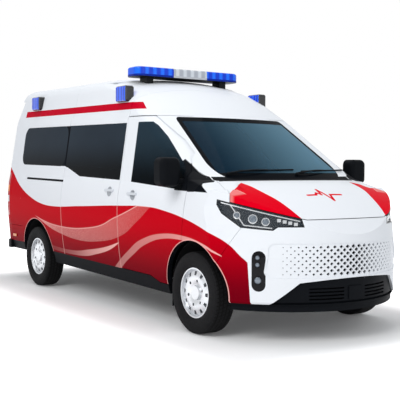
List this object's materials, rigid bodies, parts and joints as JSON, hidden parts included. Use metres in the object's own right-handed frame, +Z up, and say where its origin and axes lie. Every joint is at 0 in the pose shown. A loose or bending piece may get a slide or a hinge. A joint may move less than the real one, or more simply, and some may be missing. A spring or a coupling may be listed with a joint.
{
  "type": "ambulance van",
  "caption": "High-roof ambulance van with hinged cab, rear and bonnet panels, a fixed side door, steered rolling wheels, a roof light bar and side beacons.",
  "frame": {"origin": "on the ground below the middle of the overall box", "axes": "+X forward, +Y to the left side, +Z up"},
  "size_m": [5.3298, 2.4, 2.445],
  "materials": {
    "white_paint": "gloss",
    "black_plastic": "satin",
    "dark_glass": "gloss",
    "clear_glass": "gloss",
    "red_lamp": "gloss",
    "blue_lamp": "gloss",
    "steel_black": "matte",
    "cast": "matte",
    "silver": "satin",
    "tyre": "matte",
    "grey_trim": "matte",
    "seat_cloth": "matte"
  },
  "bodies": {
    "body": {"bulkheads": "grey_trim", "bumper_corners": "white_paint", "cab_pillars": "white_paint", "cowl_and_sails": "black_plastic", "dashboard": "grey_trim", "engine": "cast", "fenders": "white_paint", "floor_pan": "steel_black", "fog_lamps": "black_plastic", "front_bumper": "white_paint", "front_struts": "cast", "front_subframe": "cast", "fuel_tank": "steel_black", "grille": "white_paint", "grille_backing": "black_plastic", "headlamp_covers": "clear_glass", "headlamps": "black_plastic", "lamp_units": "silver", "light_bar_base": "black_plastic", "light_bar_lenses": "blue_lamp", "lower_grille": "black_plastic", "mud_flaps": "black_plastic", "privacy_glass": "dark_glass", "rear_axle": "cast", "rear_bumper": "black_plastic", "roof_panel": "white_paint", "seats": "seat_cloth", "side_beacons": "blue_lamp", "side_panel_left": "white_paint", "side_panel_right": "white_paint", "sill_trims": "black_plastic", "slam_panel": "black_plastic", "slide_rail": "black_plastic", "sliding_door": "white_paint", "tail_lamps": "red_lamp", "underframe": "steel_black", "wheel_arch_liners": "silver", "windscreen": "clear_glass"},
    "bonnet": {"bonnet": "white_paint"},
    "front_door_left": {"front_door_left": "white_paint", "front_door_glass_left": "clear_glass", "mirror_left": "black_plastic"},
    "front_door_right": {"front_door_right": "white_paint", "front_door_glass_right": "clear_glass", "mirror_right": "black_plastic"},
    "rear_door_left": {"rear_door_left": "white_paint", "rear_door_glass_left": "dark_glass"},
    "rear_door_right": {"rear_door_right": "white_paint", "rear_door_glass_right": "dark_glass"},
    "knuckle_left": {"knuckle_left": "cast"},
    "knuckle_right": {"knuckle_right": "cast"},
    "wheel_front_left": {"tyre_front_left": "tyre", "wheel_front_left": "silver"},
    "wheel_front_right": {"tyre_front_right": "tyre", "wheel_front_right": "silver"},
    "wheel_rear_left": {"tyre_rear_left": "tyre", "wheel_rear_left": "silver"},
    "wheel_rear_right": {"tyre_rear_right": "tyre", "wheel_rear_right": "silver"},
    "steering_wheel": {"steering_wheel": "grey_trim"}
  },
  "joints": [
    {"name": "steer_left", "type": "hinge", "parent": "body", "child": "knuckle_left", "pos_m": [1.704, 0.74, 0.35], "axis": [0, 0, 1], "range_deg": [-33, 33]},
    {"name": "steer_right", "type": "hinge", "parent": "body", "child": "knuckle_right", "pos_m": [1.704, -0.74, 0.35], "axis": [0, 0, 1], "range_deg": [-33, 33]},
    {"name": "spin_front_left", "type": "hinge", "parent": "knuckle_left", "child": "wheel_front_left", "pos_m": [1.704, 0.872, 0.35], "axis": [0, 1, 0], "continuous": true},
    {"name": "spin_front_right", "type": "hinge", "parent": "knuckle_right", "child": "wheel_front_right", "pos_m": [1.704, -0.872, 0.35], "axis": [0, 1, 0], "continuous": true},
    {"name": "spin_rear_left", "type": "hinge", "parent": "body", "child": "wheel_rear_left", "pos_m": [-1.664, 0.872, 0.35], "axis": [0, 1, 0], "continuous": true},
    {"name": "spin_rear_right", "type": "hinge", "parent": "body", "child": "wheel_rear_right", "pos_m": [-1.664, -0.872, 0.35], "axis": [0, 1, 0], "continuous": true},
    {"name": "steering_column", "type": "hinge", "parent": "body", "child": "steering_wheel", "pos_m": [1, 0.4, 1.085], "axis": [-0.8211, 0, 0.5708], "range_deg": [-500, 500]},
    {"name": "front_door_left_hinge", "type": "hinge", "parent": "body", "child": "front_door_left", "pos_m": [1.55, 0.996, 1], "axis": [0, 0, -1], "range_deg": [0, 70]},
    {"name": "front_door_right_hinge", "type": "hinge", "parent": "body", "child": "front_door_right", "pos_m": [1.55, -0.996, 1], "axis": [0, 0, 1], "range_deg": [0, 70]},
    {"name": "rear_door_left_hinge", "type": "hinge", "parent": "body", "child": "rear_door_left", "pos_m": [-2.63313, 0.812, 1], "axis": [-0.035, 0, -0.9994], "range_deg": [0, 180]},
    {"name": "rear_door_right_hinge", "type": "hinge", "parent": "body", "child": "rear_door_right", "pos_m": [-2.63313, -0.812, 1], "axis": [0.035, 0, 0.9994], "range_deg": [0, 180]},
    {"name": "bonnet_hinge", "type": "hinge", "parent": "body", "child": "bonnet", "pos_m": [1.795, 0, 1.3], "axis": [0, -1, 0], "range_deg": [0, 50]}
  ],
  "couplings": [
    {"joint": "steer_right", "follows": "steer_left", "ratio": 1},
    {"joint": "steering_column", "follows": "steer_left", "ratio": 15}
  ]
}
